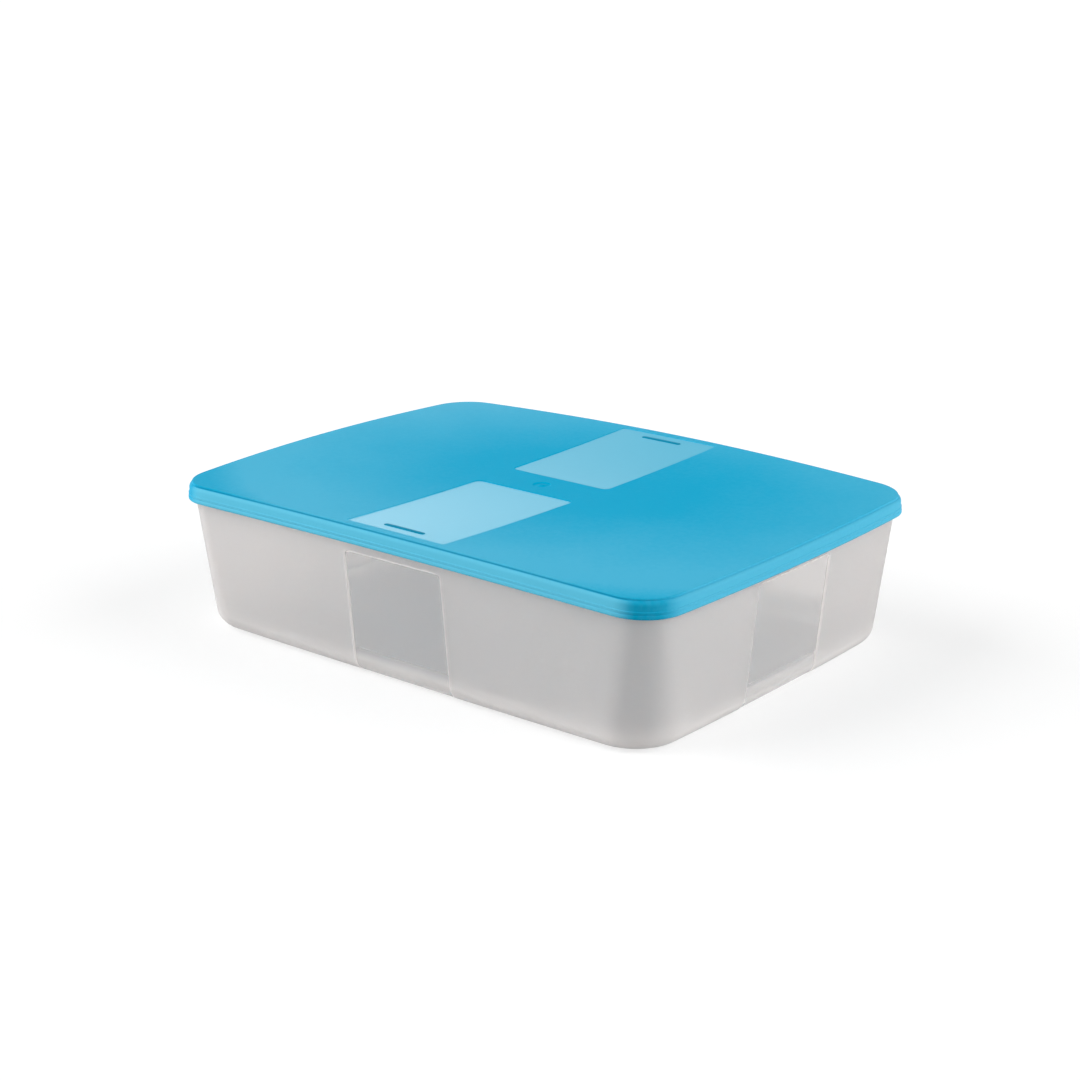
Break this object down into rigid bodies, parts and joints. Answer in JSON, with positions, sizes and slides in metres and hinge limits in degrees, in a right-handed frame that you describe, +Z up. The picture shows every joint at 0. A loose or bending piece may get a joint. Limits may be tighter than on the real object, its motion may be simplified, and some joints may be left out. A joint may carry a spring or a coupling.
{
  "type": "freezer container",
  "caption": "Shallow rectangular freezer container of frosted translucent plastic, with clear windows in its sides and a blue press-fit lid with recessed label fields.",
  "frame": {"origin": "on the table under the middle of the container", "axes": "+X along the long side, +Y along the short side, +Z up, out of the container's mouth"},
  "size_m": [0.3, 0.225, 0.0768],
  "materials": {
    "frosted_plastic": "frosted translucent polypropylene, with polished clear windows",
    "blue_plastic": "fine matte polyethylene, with polished label fields"
  },
  "bodies": {
    "container": {"container": "frosted_plastic"},
    "lid": {"lid": "blue_plastic"}
  },
  "joints": [
    {"name": "lid_lift", "type": "slide", "parent": "container", "child": "lid", "axis": [0, 0, 1], "range_m": [0, 0.12]}
  ]
}
